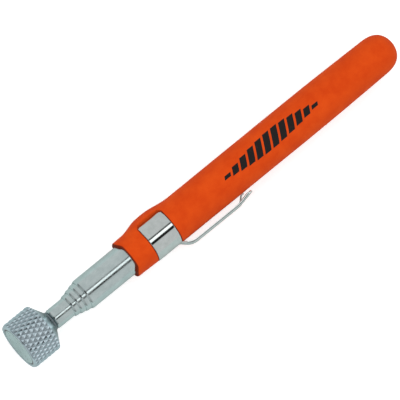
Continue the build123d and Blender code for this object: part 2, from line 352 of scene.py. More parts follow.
def bare_steel():
    """Turned, uncoated steel inside the tool; its dark colour is partly its own dull tone and partly painted
    shade for the crevices it sits in.
    """
    n = Look("bare_steel")
    n.set(Metallic=1.0)
    cloud = n.noise(420, 4)
    turned = n.noise(5200, 2, stretch=(1, 0.02, 0.02))
    # partly painted shade: darker than bare steel is, for the crevices these parts sit in
    n.colour(n.varied(cloud, 0.3, 0.7, (0.16, 0.20, 0.22), (0.28, 0.33, 0.35)))
    n.roughness(n.spread(cloud, 0.3, 0.7, 0.28, 0.45))
    n.bump((turned, 0.2, 0.01 * MM))
    return n.material


def spring_bronze():
    """Rolled spring bronze, slightly tarnished."""
    n = Look("spring_bronze")
    n.set(Metallic=1.0)
    cloud = n.noise(380, 5)
    n.colour(n.varied(cloud, 0.35, 0.7, (0.62, 0.36, 0.13), (0.78, 0.52, 0.24)))
    n.roughness(n.spread(cloud, 0.3, 0.7, 0.22, 0.42))
    n.bump((n.noise(3000, 2, stretch=(0.05, 1, 1)), 0.15, 0.01 * MM))
    return n.material


def moulded(name, dark, light, rough):
    """Moulded plastic: a fine satin grain with slight flow marks."""
    n = Look(name)
    flow = n.noise(260, 3)
    n.colour(n.varied(flow, 0.3, 0.7, dark, light))
    n.roughness(n.spread(flow, 0.3, 0.7, rough - 0.06, rough + 0.08))
    n.bump((n.cells(4200), 0.12, 0.02 * MM), (n.noise(900, 2), 0.06, 0.05 * MM))
    return n.material


def orange_foam():
    """Skinned soft foam: open fine grain, faint mottling and a soft sheen, with painted shade along its cut
    edges and in its bore.
    """
    n = Look("orange_foam")
    mottling = n.noise(170, 4)
    grain = n.noise(3600, 4, 0.65)
    pores = n.cells(2600)
    body = n.varied(mottling, 0.32, 0.68, (0.60, 0.051, 0.003), (0.68, 0.070, 0.005))
    pits = n.spread(pores, 0.0, 0.28, 1.0, 0.0)
    skin = n.mixed(n.maths("MULTIPLY", pits, 0.45), body, (0.42, 0.030, 0.003))
    # painted shade: dark brown where the mesh's edge shade value is high
    n.colour(n.mixed(n.painted("edge_shade"), skin, (0.20, 0.020, 0.003)))
    n.roughness(n.spread(grain, 0.3, 0.7, 0.62, 0.86))
    n.set(Sheen_Weight=0.03, Sheen_Roughness=0.45, Specular_IOR_Level=0.08)
    n.bump((mottling, 0.25, 0.10 * MM), (grain, 0.35, 0.05 * MM), (pores, 0.25, 0.04 * MM))
    return n.material


def black_ink():
    """Screen-printed ink that has taken the foam's grain, thin in places."""
    n = Look("black_ink")
    grain = n.noise(3600, 4, 0.65)
    thin = n.noise(900, 3)
    n.colour(n.varied(thin, 0.62, 0.80, (0.012, 0.011, 0.011), (0.07, 0.022, 0.012)))
    n.roughness(n.spread(grain, 0.3, 0.7, 0.42, 0.66))
    n.set(Specular_IOR_Level=0.15)
    n.bump((grain, 0.30, 0.04 * MM))
    return n.material


# ======== magnet head ========
KNURL_STARTS = 31
KNURL_ANGLE = math.radians(29)
KNURL_DEPTH = 0.50 * MM
KNURL_FRONT = 0.75 * MM
KNURL_REAR = HEAD_HIGH.x - 3.75 * MM
# sample places across one diamond, from groove to groove
KNURL_SAMPLES = (0.0, 0.08, 0.18, 0.29, 0.40, 0.50, 0.60, 0.71, 0.82, 0.92)
KNURL_FLANK = 0.42  # width of a groove's flank, as a share of the pitch
CROWN_EASE = 0.12  # how much a crown is flattened

# the cup's turned edges in millimetres
FRONT_RIM = ((0.63, 0.50), (0.34, 0.52), (0.16, 0.57), (0.04, 0.70), (0.0, 0.90))  # x, depth under the crowns
POCKET_MOUTH = ((0.0, 0.30), (0.05, 0.12), (0.20, 0.0))  # x, radius above the pocket's
REAR_RIM = ((0.10, 0.50), (0.30, 0.80), (0.42, 1.00))  # behind the knurling, depth under the crowns
BACK_EDGE = ((0.30, 0.42), (0.10, 0.10), (0.0, -0.10))  # in front of the cup's back, radius above BACK_RADIUS
EDGE_CROWN = 0.8  # the turned edges are this clean; 1 is a diamond's crown

BACK_RADIUS = 5.2 * MM  # where the conical back ends
STUD_RADIUS = 2.4 * MM  # rivet's front end, pressed into the cup
SHOULDER_RADIUS = 3.0 * MM
JOURNAL_RADIUS = 1.95 * MM
JOURNAL_GAP = 0.05 * MM
COLLAR_GAP = 0.15 * MM  # between the rivet's collar and section 5
END_PLAY = 0.1 * MM
WASHER_ROOM = 0.6 * MM  # between the nose plug and the rivet's rear head
SPACER_FRONT = 0.12 * MM  # the spacer lies this deep behind the magnet's face


def knurl_height(a, b):
    """1 on a diamond's crown and 0 in a groove; a and b count grooves of the two families."""
    nearest = min(abs(a - round(a)), abs(b - round(b)))
    rise = min(nearest / KNURL_FLANK, 1.0)
    return rise * (1.0 - CROWN_EASE * rise)


def knurled_band(cup, crown):
    """The knurled cylinder: a lattice that follows both groove families, cut square at both ends."""
    radius = HEAD_HIGH.z
    per_cell = len(KNURL_SAMPLES)
    columns = KNURL_STARTS * per_cell
    half_cell = math.tau * radius / KNURL_STARTS / (2 * math.tan(KNURL_ANGLE))
    first = int(KNURL_FRONT / half_cell * per_cell) - per_cell
    last = int(KNURL_REAR / half_cell * per_cell) + per_cell

    def groove_count(index):
        return index // per_cell + KNURL_SAMPLES[index % per_cell]

    lattice = {}
    for p in range(columns):
        for k in range(first, last):
            a, b = groove_count(p), groove_count(p + k)
            height = knurl_height(a, b)
            r = radius - KNURL_DEPTH * (1 - height)
            turn = (a + b) * math.pi / KNURL_STARTS
            vert = cup.verts.new(((b - a) * half_cell, r * math.sin(turn), r * math.cos(turn)))
            vert[crown] = height
            lattice[p, k] = vert
    for p in range(columns):
        right = (p + 1) % columns
        for k in range(first + 1, last - 1):
            cup.faces.new((lattice[p, k], lattice[right, k - 1], lattice[right, k], lattice[p, k + 1]))
    for place, side in ((KNURL_FRONT, -1), (KNURL_REAR, 1)):
        bmesh.ops.bisect_plane(
            cup,
            geom=cup.verts[:] + cup.edges[:] + cup.faces[:],
            plane_co=(place, 0, 0),
            plane_no=(side, 0, 0),
            clear_outer=True,
        )
    bmesh.ops.delete(cup, geom=[v for v in cup.verts if not v.link_faces], context="VERTS")


def turned_end(cup, crown, place, outline):
    """Grows the open edge at x = place through an outline of (x, r) points, and closes it."""
    edges = [e for e in cup.edges if e.is_boundary and all(abs(v.co.x - place) < 1e-6 for v in e.verts)]
    for x, r in outline:
        grown = bmesh.ops.extrude_edge_only(cup, edges=edges)["geom"]
        for vert in (g for g in grown if isinstance(g, bmesh.types.BMVert)):
            turn = math.atan2(vert.co.y, vert.co.z)
            vert.co = (x, r * math.sin(turn), r * math.cos(turn))
            vert[crown] = EDGE_CROWN
        edges = [g for g in grown if isinstance(g, bmesh.types.BMEdge)]
    bmesh.ops.edgenet_fill(cup, edges=edges)


def magnet_cup():
    """Cup with real diamond knurling between a turned front, open for the magnet, and a conical back."""
    radius, pocket, back = HEAD_HIGH.z, SPACER_HIGH.z, HEAD_HIGH.x
    front = [(x * MM, radius - depth * MM) for x, depth in FRONT_RIM]
    front += [(x * MM, pocket + more * MM) for x, more in POCKET_MOUTH]
    front.append((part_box("yoke_plate")[1].x, pocket))
    rear = [(KNURL_REAR + x * MM, radius - depth * MM) for x, depth in REAR_RIM]
    rear += [(back - x * MM, BACK_RADIUS + more * MM) for x, more in BACK_EDGE]
    rear += [(back, STUD_RADIUS), (RIVET_LOW.x, STUD_RADIUS)]

    cup = bmesh.new()
    crown = cup.verts.layers.float.new("crown")
    knurled_band(cup, crown)
    turned_end(cup, crown, KNURL_FRONT, front)
    turned_end(cup, crown, KNURL_REAR, rear)
    bmesh.ops.recalc_face_normals(cup, faces=cup.faces)
    mesh = bpy.data.meshes.new("knurled_cup")
    cup.to_mesh(mesh)
    cup.free()
    return linked("knurled_cup", mesh, sharp_degrees=48)


def magnet_face():
    r, back = MAGNET_HIGH.z, MAGNET_HIGH.x
    outline = [(0, 0, 0), (0, r, 0.30 * MM), (back, r, 0.1 * MM), (back, 0, 0)]
    return lathe("magnet_face", rounded(outline, closed=False), closed=False)


def spacer_ring():
    inner, outer, back = MAGNET_HIGH.z, SPACER_HIGH.z, SPACER_HIGH.x
    corners = ((SPACER_FRONT, inner), (back, inner), (back, outer), (SPACER_FRONT, outer))
    outline = [(x, r, 0.08 * MM) for x, r in corners]
    return lathe("spacer_ring", rounded(outline, closed=True), closed=True)


def head_rivet():
    """Shoulder rivet: stud, collar, shoulder, journal and the head that it is closed with."""
    neck, collar = HEAD_HIGH.x, RIVET_HIGH.z
    collar_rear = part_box("section_5")[0].x - COLLAR_GAP
    step = PLUG_LOW.x - END_PLAY
    head_face = PLUG_HIGH.x + WASHER_ROOM
    outline = [
        (RIVET_LOW.x, 0, 0),
        (RIVET_LOW.x, STUD_RADIUS, 0.2 * MM),
        (neck, STUD_RADIUS, 0),
        (neck, collar, 0.15 * MM),
        (collar_rear, collar, 0.15 * MM),
        (collar_rear, SHOULDER_RADIUS, 0),
        (step, SHOULDER_RADIUS, 0.15 * MM),
        (step, JOURNAL_RADIUS, 0),
        (head_face, JOURNAL_RADIUS, 0),
        (head_face, SHOULDER_RADIUS, 0.1 * MM),
        (RIVET_HIGH.x, SHOULDER_RADIUS, 0.6 * MM),
        (RIVET_HIGH.x, 0, 0),
    ]
    return lathe("shoulder_rivet", rounded(outline, closed=False), closed=False, segments=72)


# ======== telescopic tube ========
SECTION_COUNT = 5
TUBE_WALL = 0.42 * MM
SWAGE_LENGTH = 1.1 * MM  # over which a mouth closes in
SWAGE_STEPS = 7
LIP_GAP = 0.05 * MM  # between a mouth's lip and the section that slides through it
LIP_CORNER = (0.05 * MM, 0.06 * MM)  # cut off a lip's front corners, along and across
NOSE_HOLE = 3.5 * MM  # radius of section 5's front hole
FLARE_RISE = 0.16 * MM  # widened rear end
FLARE_LENGTH = 1.0 * MM
FLARE_RAMP = 0.7 * MM
STATION_SPACING = 6 * MM  # of the mesh rings along a tube
CUT_EDGE = 0.05 * MM  # rounding of a tube's cut end


def tube(index):
    """One section: swaged mouth in front, flared rear, as the frame gives it."""
    low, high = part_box(f"section_{index}")
    front, rear = low.x, high.x
    flared = index > 1
    radius = high.z - (FLARE_RISE if flared else 0)
    bore = radius - TUBE_WALL
    lip = NOSE_HOLE
    if index < SECTION_COUNT:
        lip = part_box(f"section_{index + 1}")[1].z - FLARE_RISE + LIP_GAP
    edge = lip + 0.6 * TUBE_WALL
    drop = radius - edge
    bend = (SWAGE_LENGTH**2 + drop**2) / (2 * drop)  # radius of the swage's arc
    along, across = LIP_CORNER
    outline = [(front + along, lip, 0), (front, lip + across, 0), (front, edge - across, 0)]
    for k in range(1, SWAGE_STEPS + 1):
        x = SWAGE_LENGTH * (1 - math.cos(k / SWAGE_STEPS * math.pi / 2))
        r = radius - bend + math.sqrt(bend**2 - (SWAGE_LENGTH - x) ** 2)
        outline.append((front + x, r, 0))
    outline.append((front + SWAGE_LENGTH + 0.4 * MM, radius, 0))
    length = rear - front
    stations = int(length / STATION_SPACING)
    for k in range(1, stations):
        outline.append((front + SWAGE_LENGTH + k * (length - 4 * MM) / stations, radius, 0))
    if flared:
        ramp, level = rear - FLARE_LENGTH - FLARE_RAMP, rear - FLARE_LENGTH
        outline += [
            (ramp, radius, 0),
            (level, radius + FLARE_RISE, CUT_EDGE),
            (rear, radius + FLARE_RISE, CUT_EDGE),
            (rear, bore + FLARE_RISE, CUT_EDGE),
            (level, bore + FLARE_RISE, 0),
            (ramp, bore, 0),
        ]
    else:
        outline += [(rear, radius, CUT_EDGE), (rear, bore, CUT_EDGE)]
    outline += [(front + SWAGE_LENGTH, bore, 0), (front + TUBE_WALL, lip, 0)]
    return lathe(f"tube_section_{index}", rounded(outline, closed=True, steps=3), closed=True)


def nose_plug():
    """Plug behind section 5's front end, with a cone that meets the closed-in wall."""
    radius, bore = PLUG_HIGH.z, JOURNAL_RADIUS + JOURNAL_GAP
    outline = [
        (PLUG_LOW.x, bore, 0.15 * MM),
        (PLUG_HIGH.x, bore, 0.1 * MM),
        (PLUG_HIGH.x, radius, 0.2 * MM),
        (PLUG_LOW.x + 0.7 * MM, radius, 0),
        (PLUG_LOW.x, NOSE_HOLE, 0.1 * MM),
    ]
    return lathe("rivet_plug", rounded(outline, closed=True), closed=True, segments=72)


# ======== grip sleeve ========
# Angles round the grip are counted from the strip's middle (+Y) towards +Z, and run on to -Y at 180 degrees.
GRIP_RADIUS = GRIP_HIGH.z
GRIP_FRONT, GRIP_END = GRIP_LOW.x - 0.5 * MM, GRIP_HIGH.x
LIP = 0.6 * MM  # rounding of the front edge
MOUTH_DIP = 1.25 * MM  # how much further back the front edge is on the grip's two broad sides
MOUTH_DIP_SIDES = (math.radians(34), math.radians(66))  # angles over which the dip runs out
FRONT_INSET = 0.50 * MM  # the grip is this much slimmer at its front edge
WINDOW_INSET = 0.20 * MM  # and this much at the window
WINDOW_FRONT, WINDOW_REAR = BAND_LOW.x - 0.1 * MM, BAND_HIGH.x + 0.1 * MM
WINDOW_CORNER = 1.9 * MM
EDGE_ROUND = 0.45 * MM  # rounding of the window's edges
STRIP_HALF = math.radians(37)  # of the strip that bridges the band
BULGE = 1.66 * MM  # how far the strip stands out over the band
BULGE_RISE = (66.5 * MM, 76.0 * MM)
BULGE_FALL = (79.5 * MM, 93.0 * MM)
BULGE_SIDES = (math.radians(33), math.radians(66))
UNEVENNESS = 0.05 * MM  # slow wander of the foam's skin
WANDER_ALONG, WANDER_ROUND = 70, 1.3  # how quickly it changes along the grip, per metre, and round it
RIM_WIDTH = 0.45 * MM  # painted shade darkens the foam this close to a cut edge
STRIP_RIM = 0.25  # and less so along the strip
TAPER_START, TAPER_LENGTH = 160 * MM, 43 * MM
TAPER_DROP, TAPER_POWER = 0.55 * MM, 1.6
DOME_START = GRIP_END - 14 * MM
DOME_POWER = 3.7  # a blunter end than a ball's


def grip_profile(x):
    """Radius of the grip's plain form at x."""
    if x < WINDOW_FRONT:
        share = (x - GRIP_FRONT) / (WINDOW_FRONT - GRIP_FRONT)
        return GRIP_RADIUS - FRONT_INSET + (FRONT_INSET - WINDOW_INSET) * share
    rise = smoothstep(x, WINDOW_FRONT, WINDOW_REAR + 4 * MM)
    radius = GRIP_RADIUS - WINDOW_INSET * (1 - rise)
    if x > TAPER_START:
        share = (x - TAPER_START) / TAPER_LENGTH
        radius -= TAPER_DROP * min(share, 1.0) ** TAPER_POWER
    if x > DOME_START:
        share = min((x - DOME_START) / (GRIP_END - DOME_START), 1.0)
        radius *= math.sqrt(max(1 - share**DOME_POWER, 0.0))
    return radius


def window_distance(x, around):
    """How far a point of the grip is outside the window; around is its way round from the strip's middle."""
    middle = (WINDOW_FRONT + WINDOW_REAR) / 2
    half = (WINDOW_REAR - WINDOW_FRONT) / 2
    along = abs(x - middle) - (half - WINDOW_CORNER)
    across = STRIP_HALF * GRIP_RADIUS + WINDOW_CORNER - around
    outside = math.hypot(max(along, 0), max(across, 0))
    return outside + min(max(along, across), 0) - WINDOW_CORNER


def grip_radius(x, angle):
    """Outer radius of the grip, with the bulge over the band, rounded window edges and slight unevenness."""
    away = abs(angle)
    radius = grip_profile(x)
    swell = smoothstep(x, *BULGE_RISE) * (1 - smoothstep(x, *BULGE_FALL))
    radius += BULGE * swell * (1 - smoothstep(away, *BULGE_SIDES))
    if GRIP_FRONT + 2 * MM < x < GRIP_END - 12 * MM:
        round_y, round_z = math.cos(angle) * WANDER_ROUND, math.sin(angle) * WANDER_ROUND
        radius += UNEVENNESS * noise.noise(Vector((x * WANDER_ALONG, round_y, round_z)))
    distance = window_distance(x, away * GRIP_RADIUS)
    if 0 <= distance < EDGE_ROUND:
        radius -= EDGE_ROUND - math.sqrt(EDGE_ROUND**2 - (EDGE_ROUND - distance) ** 2)
    return radius


def window_edges(away):
    """Front and rear edge of the window at an angle from the strip's middle."""
    out = (away - STRIP_HALF) * GRIP_RADIUS
    if out >= WINDOW_CORNER:
        inset = 0.0
    else:
        into = WINDOW_CORNER - max(out, 0)
        inset = WINDOW_CORNER - math.sqrt(max(WINDOW_CORNER**2 - into**2, 0))
    return WINDOW_FRONT + inset, WINDOW_REAR - inset


def grip_columns():
    """Angles of the grip's lengthwise mesh lines, close together at the strip's edges."""
    mm_turn = MM / GRIP_RADIUS
    strip = [STRIP_HALF * k / 9 for k in range(8)]
    strip += [STRIP_HALF - gap * mm_turn for gap in (0.9, 0.6, 0.38, 0.2, 0.08, 0.0)]
    corner_turn = WINDOW_CORNER / GRIP_RADIUS
    corner = [STRIP_HALF + corner_turn * (1 - math.cos(k * math.pi / 16)) for k in range(1, 9)]
    start = corner[-1]
    side = [start + (math.pi - start) * k / 34 for k in range(1, 34)]
    half = strip + corner + side
    return [-a for a in reversed(half[1:])] + half + [math.pi]


LIP_ARC = [math.pi / 2 * k / 6 for k in range(7)]  # from the outer skin to the front edge
NEAR_WINDOW = (0.8, 0.4, 0.2, 0.08)  # mesh rings this many millimetres from the window
FRONT_ROWS, WINDOW_ROWS, BARREL_ROWS, DOME_ROWS = 9, 12, 52, 22
# the window's first and last ring, counted from the front edge
OPEN_FROM = len(LIP_ARC) + FRONT_ROWS - 1 + len(NEAR_WINDOW)
OPEN_TO = OPEN_FROM + WINDOW_ROWS


def grip_stations(away):
    """Places along the grip of one mesh line, at an angle from the strip's middle."""
    window_start, window_end = window_edges(away)
    mouth = GRIP_FRONT + MOUTH_DIP * (1 - smoothstep(abs(away - math.pi / 2), *MOUTH_DIP_SIDES))
    near = NEAR_WINDOW[0] * MM
    front_run = window_start - near - (mouth + LIP)
    xs = [mouth + LIP * (1 - math.sin(t)) for t in reversed(LIP_ARC)]
    xs += [mouth + LIP + front_run * k / FRONT_ROWS for k in range(1, FRONT_ROWS)]
    xs += [window_start - gap * MM for gap in NEAR_WINDOW]
    xs += [window_start + (window_end - window_start) * k / WINDOW_ROWS for k in range(WINDOW_ROWS)]
    xs += [window_end] + [window_end + gap * MM for gap in reversed(NEAR_WINDOW)]
    barrel_start = window_end + near
    xs += [barrel_start + (DOME_START - barrel_start) * k / BARREL_ROWS for k in range(1, BARREL_ROWS + 1)]
    dome = GRIP_END - DOME_START
    xs += [DOME_START + dome * math.sin(math.pi / 2 * k / DOME_ROWS) for k in range(1, DOME_ROWS)]
    return xs


def bore_radius(x, angle):
    """Radius of the grip's bore: wide for the band under the strip, and closing in behind its seat."""
    if x > GRIP_SEAT:
        return TUBE_RADIUS * grip_profile(x) / grip_profile(GRIP_SEAT)
    pocket = smoothstep(x, WINDOW_FRONT - 1.2 * MM, WINDOW_FRONT - 0.1 * MM)
    pocket *= 1 - smoothstep(x, WINDOW_REAR + 0.1 * MM, WINDOW_REAR + 1.2 * MM)
    across = 1 - smoothstep(abs(angle), STRIP_HALF + 0.10, STRIP_HALF + 0.30)
    return TUBE_RADIUS + (BAND_HIGH.z + 0.05 * MM - TUBE_RADIUS) * pocket * across


def grip_skin_points(columns):
    """Points, painted edge shades and rows of vertex numbers of the sleeve's outer and inner skins."""
    verts, edge_shades, outer, inner = [], [], [], []

    def strip_share(x):
        return STRIP_RIM if WINDOW_FRONT < x < WINDOW_REAR else 1.0

    for angle in columns:
        xs = grip_stations(abs(angle))
        outer.append(range(len(verts), len(verts) + len(xs)))
        for i, x in enumerate(xs):
            r = grip_radius(x, angle)
            if i < len(LIP_ARC):
                r -= LIP * (1 - math.cos(LIP_ARC[-1 - i]))
            verts.append((x, r * math.cos(angle), r * math.sin(angle)))
            to_edge = min(x - xs[0], max(window_distance(x, abs(angle) * GRIP_RADIUS), 0.0))
            # painted shade along the front edge and the window's edges
            edge_shades.append(strip_share(x) * (1 - smoothstep(to_edge, 0.0, RIM_WIDTH)))
        inner.append(range(len(verts), len(verts) + len(xs)))
        for x in xs:
            r = bore_radius(x, angle)
            verts.append((min(x, GRIP_SEAT), r * math.cos(angle), r * math.sin(angle)))
            # painted shade: the bore is dark all through, less so under the strip
            edge_shades.append(strip_share(x))
    return verts, edge_shades, outer, inner


def grip_sleeve():
    """The sleeve: an outer and an inner skin on one grid, joined at the front and round the open window."""
    columns = grip_columns()
    verts, edge_shades, outer, inner = grip_skin_points(columns)
    tip_outer, tip_inner = len(verts), len(verts) + 1
    verts += [(GRIP_END, 0, 0), (GRIP_SEAT, 0, 0)]
    edge_shades += [0.0, 1.0]
    faces = []
    count = len(columns)
    for c in range(count):
        n = (c + 1) % count
        in_strip = max(abs(columns[c]), abs(columns[n])) <= STRIP_HALF + 1e-9
        for i in range(len(outer[0]) - 1):
            if OPEN_FROM <= i < OPEN_TO and not in_strip:
                continue
            faces.append((outer[c][i], outer[n][i], outer[n][i + 1], outer[c][i + 1]))
            faces.append((inner[c][i], inner[c][i + 1], inner[n][i + 1], inner[n][i]))
        faces.append((outer[c][0], inner[c][0], inner[n][0], outer[n][0]))
        faces.append((outer[c][-1], outer[n][-1], tip_outer))
        faces.append((inner[n][-1], inner[c][-1], tip_inner))
        if not in_strip:
            for i in (OPEN_FROM, OPEN_TO):
                faces.append((outer[c][i], outer[n][i], inner[n][i], inner[c][i]))
    for side in (-1, 1):
        c = min(range(count), key=lambda i: abs(columns[i] - side * STRIP_HALF))
        for i in range(OPEN_FROM, OPEN_TO):
            faces.append((outer[c][i], outer[c][i + 1], inner[c][i + 1], inner[c][i]))
    made = mesh_object("foam_grip", verts, faces, sharp_degrees=50)
    made.data.attributes.new("edge_shade", "FLOAT", "POINT").data.foreach_set("value", edge_shades)
    return made


# ======== printed mark ========
MARK_FRONT, MARK_REAR = 115.7 * MM, 170.4 * MM
MARK_HALF = 5.0 * MM
MARK_BARS = 12
MARK_SLANT = 0.55  # lean of a bar, along the grip per height
BAR_GAP = 1.15 * MM
INK_HEIGHT = 0.03 * MM


def mark_point(x, across, lift):
    """A point on the grip's printed side; across runs over the grip from the clip's side to the strip's."""
    angle = math.pi / 2 - across / GRIP_RADIUS
    r = grip_radius(x, angle) + lift
    return (x, r * math.cos(angle), r * math.sin(angle))


def ink_patch(verts, faces, shape, steps_u, steps_v):
    """A closed film of ink; shape(u, v) gives (x, across) for u and v from 0 to 1."""
    layers = []
    for lift in (INK_HEIGHT, -INK_HEIGHT):
        rows = []
        for i in range(steps_u + 1):
            row = []
            for j in range(steps_v + 1):
                row.append(len(verts))
                verts.append(mark_point(*shape(i / steps_u, j / steps_v), lift))
            rows.append(row)
        layers.append(rows)
        faces += grid_faces(rows, closed_across=False)
    edge_shades = [
        rows[0] + [row[-1] for row in rows[1:]] + rows[-1][-2::-1] + [row[0] for row in rows[-2:0:-1]]
        for rows in layers
    ]
    faces += grid_faces(edge_shades, closed_across=True)


def printed_mark():
    """A plain decoration: slanted bars, tall in the middle and short at the ends."""
    verts, faces = [], []
    centre = (MARK_FRONT + MARK_REAR) / 2
    pitch = (MARK_REAR - MARK_FRONT) / MARK_BARS

    def bar(middle, low, high):
        def shape(u, v):
            across = low + (high - low) * v
            return middle + (u - 0.5) * (pitch - BAR_GAP) + MARK_SLANT * across, across
        ink_patch(verts, faces, shape, 3, 14)

    for k in range(MARK_BARS):
        middle = MARK_FRONT + (k + 0.5) * pitch
        share = (middle - centre) / (MARK_REAR - MARK_FRONT) * 2
        half = MARK_HALF * (1 - abs(share) ** 1.7) * 0.92 + 0.35 * MM
        bar(middle, -half * 0.62, half)
    return mesh_object("printed_mark", verts, faces, sharp_degrees=40)


# ======== pocket clip ========
SHEET = 0.9 * MM
BAND_EDGE = 0.9 * MM  # the band's edges are eased over this width
ARM_HALF = ARM_HIGH.z
ARM_LINE = 13.0 * MM  # distance of the arm's middle from the tool's axis
ARM_SPREAD = 0.1 * MM  # the arm's straight part drifts out by this much
ARM_STRAIGHT = 116.8 * MM  # where the straight part ends
TIP_TURN_IN = 1.8 * MM
ARM_RISE = (1.5 * MM, 5.8 * MM)  # where the arm leaves the band and where it is straight, from its root
ARM_BENDS = (1.6 * MM, 9.0 * MM, 22 * MM)  # radii of its bends, from the root on
ARM_CROWN = 0.75 * MM  # how much the arm's edges are bowed towards the grip
ARM_SWELL = 0.12 * MM  # and how much its middle stands out
CUT_ROUND = 0.16 * MM  # rounding of the sheet's cut edges
SLOT_FRONT, SLOT_REAR, SLOT_HALF = 116.5 * MM, 121.2 * MM, 1.3 * MM
TONGUE_SHEET, TONGUE_HALF = 0.6 * MM, 1.1 * MM
TONGUE_STATIONS = (115.1 * MM, 116.2 * MM, 119.5 * MM, 120.7 * MM)  # root, bend, heel and tip
TONGUE_BEND = 0.8 * MM
TONGUE_CLEARANCE = 0.08 * MM  # over the grip
TONGUE_ROUND = 0.1 * MM


def clip_band():
    inner, outer = BAND_HIGH.z - SHEET, BAND_HIGH.z
    half = [
        (BAND_LOW.x, inner, 0.1 * MM),
        (BAND_LOW.x, outer - 0.04 * MM, 0.2 * MM),
        (BAND_LOW.x + BAND_EDGE, outer, 0.8 * MM),
    ]
    mirrored = [(BAND_LOW.x + BAND_HIGH.x - x, r, fillet) for x, r, fillet in reversed(half)]
    return lathe("band_of_clip", rounded(half + mirrored, closed=True), closed=True, segments=192)


def even_line(corners, steps, spacing):
    """Points at an even spacing along an outline with rounded corners."""
    bends = rounded(corners, closed=False, steps=steps, support=0)
    line = [Vector(bends[0])]
    for point in map(Vector, bends[1:]):
        begin = line[-1]
        parts = max(int((point - begin).length / spacing), 1)
        line += [begin + (point - begin) * k / parts for k in range(1, parts + 1)]
    return line


def arm_line():
    """The arm's bent middle line as (x, distance from the axis), from inside the band to the tip."""
    root, root_r = ARM_LOW.x + 0.1 * MM, BAND_HIGH.z - SHEET / 2
    corners = [
        (root, root_r, 0),
        (root + ARM_RISE[0], root_r, ARM_BENDS[0]),
        (root + ARM_RISE[1], ARM_LINE, ARM_BENDS[1]),
        (ARM_STRAIGHT, ARM_LINE + ARM_SPREAD, ARM_BENDS[2]),
        (ARM_HIGH.x, ARM_LINE - TIP_TURN_IN, 0),
    ]
    return even_line(corners, steps=10, spacing=0.28 * MM)


def tongue_line():
    """The tongue's middle line, from inside the arm's sheet to its foot on the grip."""
    root = ARM_LINE + ARM_SPREAD
    rest = GRIP_RADIUS + TONGUE_CLEARANCE + TONGUE_SHEET / 2
    corners = zip(TONGUE_STATIONS, (root, root, rest, rest), (0, TONGUE_BEND, TONGUE_BEND, 0))
    return even_line(list(corners), steps=6, spacing=0.25 * MM)


def sheet_rings(verts, line, sheet, soft, across, half_at, drop_at):
    """Cross-sections of a bent sheet along line: outer side from -Z to +Z, then back on the inner side.
    half_at(x) is half its width and drop_at(x, z) how far it is bent inwards."""
    rings = []
    for i, point in enumerate(line):
        ahead = line[min(i + 1, len(line) - 1)] - line[max(i - 1, 0)]
        ahead.normalize()
        outwards = Vector((-ahead.y, ahead.x))
        half = half_at(point.x)
        ring = []
        for face_side in (1, -1):
            for share in across if face_side > 0 else reversed(across):
                at_edge = abs(share) == 1
                z = share * half
                if not at_edge:
                    z = share * max(half - soft, 0.3 * half) / across[-2]
                offset = face_side * (sheet / 2 - (soft if at_edge else 0)) - drop_at(point.x, z)
                place = point + outwards * offset
                ring.append(len(verts))
                verts.append((place.x, -place.y, z))
        rings.append(ring)
    return rings


def arm_half(x):
    """Half the arm's width at x, with a round tip."""
    to_tip = min(max(ARM_HIGH.x - x, 0.0) / ARM_HALF, 1.0)
    return ARM_HALF * math.sqrt(max(1 - (1 - to_tip) ** 2, 0.002))


def arm_drop(x, z):
    """How far the sheet lies inside its middle line: round like the band at the root, bowed along the arm."""
    hug = GRIP_RADIUS - math.sqrt(GRIP_RADIUS**2 - z**2)
    bow = ARM_CROWN * (z / ARM_HALF) ** 2
    out = smoothstep(x, ARM_LOW.x + 1.0 * MM, ARM_LOW.x + 6.5 * MM)
    return hug * (1 - out) + (bow - ARM_SWELL) * out


def slotted_faces(rings, width, slot_columns, slot_rings):
    """Skin of a sheet whose rings have width points on each side, with a slot cut right through."""
    first, last = slot_rings
    slot_low, slot_high = slot_columns
    around = 2 * width

    def under(column):
        return around - 1 - column

    faces = []
    for i, (low, high) in enumerate(zip(rings, rings[1:])):
        beside_slot = first <= i < last
        for k in range(around):
            column = k if k < width else under(k) - 1
            if beside_slot and slot_low <= column < slot_high and k not in (width - 1, around - 1):
                continue
            n = (k + 1) % around
            faces.append((low[k], low[n], high[n], high[k]))
        if beside_slot:
            for column in slot_columns:
                faces.append((low[column], high[column], high[under(column)], low[under(column)]))
    for ring in (rings[first], rings[last]):
        for column in range(slot_low, slot_high):
            faces.append((ring[column], ring[column + 1], ring[under(column + 1)], ring[under(column)]))
    return faces + [tuple(reversed(rings[0])), tuple(rings[-1])]


def clip_arm():
    """Sheet spring arm with bowed edges and a rounded tip; a tongue cut out of it presses on the grip."""
    lane = SLOT_HALF / ARM_HALF
    side = [lane + (0.94 - lane) * k / 7 for k in range(8)] + [1]
    across = [-s for s in reversed(side)] + [lane * k / 5 for k in range(-4, 5)] + side
    slot_columns = (len(side) - 1, len(across) - len(side))
    line = arm_line()
    inside_slot = [i for i, point in enumerate(line) if SLOT_FRONT <= point.x <= SLOT_REAR]
    verts = []
    rings = sheet_rings(verts, line, SHEET, CUT_ROUND, across, arm_half, arm_drop)
    faces = slotted_faces(rings, len(across), slot_columns, (inside_slot[0], inside_slot[-1]))

    across = [-1, -0.9, -0.6, -0.3, 0, 0.3, 0.6, 0.9, 1]
    rings = sheet_rings(
        verts, tongue_line(), TONGUE_SHEET, TONGUE_ROUND, across, lambda x: TONGUE_HALF, lambda x, z: 0
    )
    faces += grid_faces(rings, closed_across=True)
    faces += [tuple(reversed(rings[0])), tuple(rings[-1])]
    return mesh_object("arm_of_clip", verts, faces, sharp_degrees=60)


# ======== assembly ========
def dress(piece, material, body, slot, *nodes):
    """Gives a new piece its material and body, and hides the CAD nodes that it stands for."""
    piece.data.materials.clear()
    piece.data.materials.append(material)
    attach(piece, body)
    if nodes:
        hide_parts(*nodes)
    return piece


